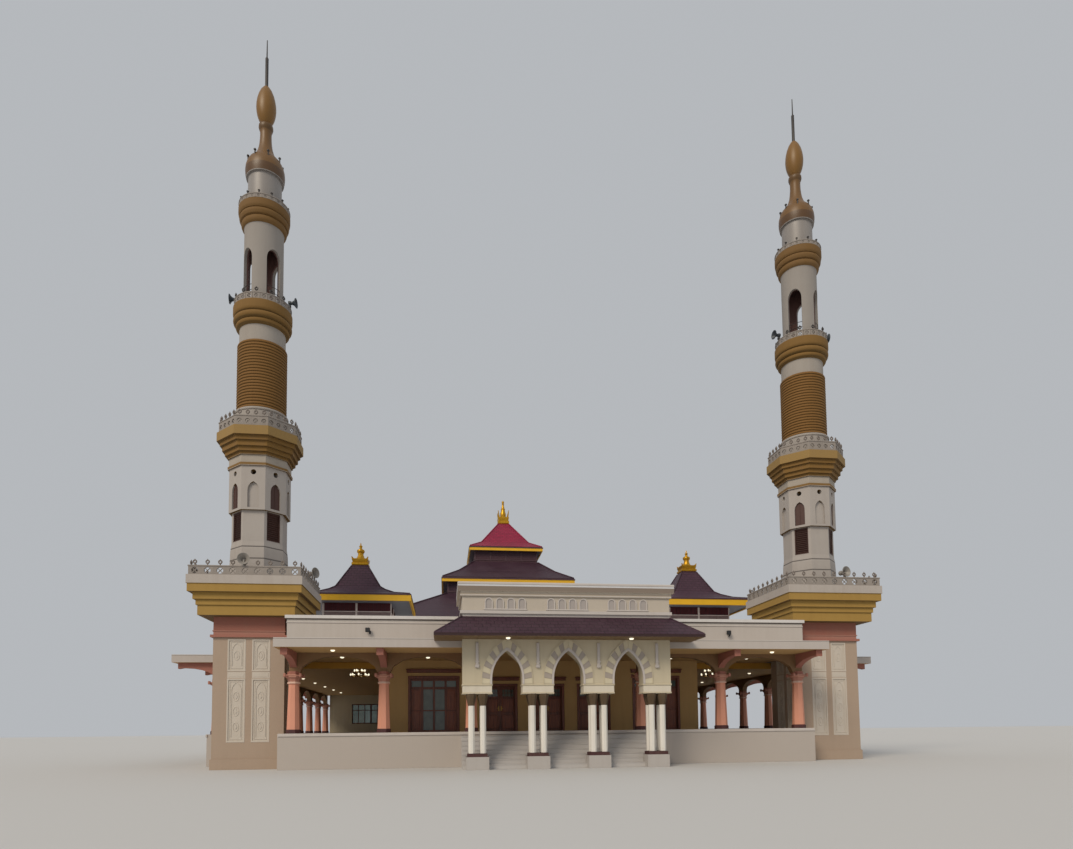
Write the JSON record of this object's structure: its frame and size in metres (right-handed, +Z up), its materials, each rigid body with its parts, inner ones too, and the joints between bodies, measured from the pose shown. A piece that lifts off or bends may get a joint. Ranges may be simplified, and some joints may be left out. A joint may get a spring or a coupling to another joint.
{
  "type": "mosque",
  "caption": "Mosque with twin tall minarets, an arched porch under a tiled skirt roof, open column verandahs and a three-tier pyramid roof over the hall",
  "frame": {"origin": "centre of the bounding box's bottom, at yard level", "axes": "+X to the right along the front, +Y from the street into the building, +Z up"},
  "size_m": [33.5, 39.3, 32.83],
  "materials": {
    "cream": "painted render, matt",
    "white": "painted render, matt",
    "ochre": "painted render, satin",
    "pink": "painted render, matt",
    "maroon": "glazed roof tiles, dark",
    "crimson": "painted metal sheet, satin",
    "gold": "gilded, polished",
    "stone": "dressed stone, matt",
    "wood": "stained timber, satin",
    "glass": "clear window glass"
  },
  "bodies": {
    "building": {"floor_platform": "white", "front_steps": "stone", "porch_pier_1": "white", "porch_pier_2": "white", "porch_pier_3": "white", "porch_pier_4": "white", "porch_arch_wall": "cream", "porch_skirt_roof": "maroon", "porch_parapet": "white", "left_front_arcade": "pink", "right_front_arcade": "pink", "left_side_arcade": "pink", "right_side_arcade": "pink", "front_wall_left": "cream", "front_wall_right": "cream", "front_wall_lintel": "cream", "front_wall_pier_left": "cream", "front_wall_pier_right": "cream", "hall_left_wall": "cream", "hall_right_wall": "cream", "rear_wall": "cream", "clerestory_wall": "cream", "hall_left_glass": "glass", "hall_right_glass": "glass", "front_left_screen": "wood", "front_right_screen": "wood", "front_roof": "white", "left_side_roof": "white", "right_side_roof": "white", "left_roof_parapet": "white", "right_roof_parapet": "white", "lower_roof_tier": "maroon", "middle_roof_tier": "maroon", "top_roof_tier": "crimson", "hall_finial": "gold", "left_pavilion_walls": "maroon", "left_pavilion_roof": "maroon", "left_pavilion_finial": "gold", "left_minaret_base": "cream", "left_minaret_gallery": "ochre", "left_minaret_octagon": "white", "left_minaret_ribbed_shaft": "ochre", "left_minaret_lantern": "white", "left_minaret_spire": "ochre", "right_pavilion_walls": "maroon", "right_pavilion_roof": "maroon", "right_pavilion_finial": "gold", "right_minaret_base": "cream", "right_minaret_gallery": "ochre", "right_minaret_octagon": "white", "right_minaret_ribbed_shaft": "ochre", "right_minaret_lantern": "white", "right_minaret_spire": "ochre"},
    "left_door_left": {"left_door_left_leaf": "wood"},
    "left_door_right": {"left_door_right_leaf": "wood"},
    "middle_door_left": {"middle_door_left_leaf": "wood"},
    "middle_door_right": {"middle_door_right_leaf": "wood"},
    "right_door_left": {"right_door_left_leaf": "wood"},
    "right_door_right": {"right_door_right_leaf": "wood"}
  },
  "joints": [
    {"name": "left_door_left_hinge", "type": "hinge", "parent": "building", "child": "left_door_left", "pos_m": [-2.9, -12.6437, 2.445], "axis": [0, 0, 1], "range_deg": [0, 90]},
    {"name": "left_door_right_hinge", "type": "hinge", "parent": "building", "child": "left_door_right", "pos_m": [-1.44, -12.6437, 2.445], "axis": [0, 0, -1], "range_deg": [0, 90]},
    {"name": "middle_door_left_hinge", "type": "hinge", "parent": "building", "child": "middle_door_left", "pos_m": [-0.73, -12.6437, 2.445], "axis": [0, 0, 1], "range_deg": [0, 90]},
    {"name": "middle_door_right_hinge", "type": "hinge", "parent": "building", "child": "middle_door_right", "pos_m": [0.73, -12.6437, 2.445], "axis": [0, 0, -1], "range_deg": [0, 90]},
    {"name": "right_door_left_hinge", "type": "hinge", "parent": "building", "child": "right_door_left", "pos_m": [1.44, -12.6437, 2.445], "axis": [0, 0, 1], "range_deg": [0, 90]},
    {"name": "right_door_right_hinge", "type": "hinge", "parent": "building", "child": "right_door_right", "pos_m": [2.9, -12.6437, 2.445], "axis": [0, 0, -1], "range_deg": [0, 90]}
  ]
}
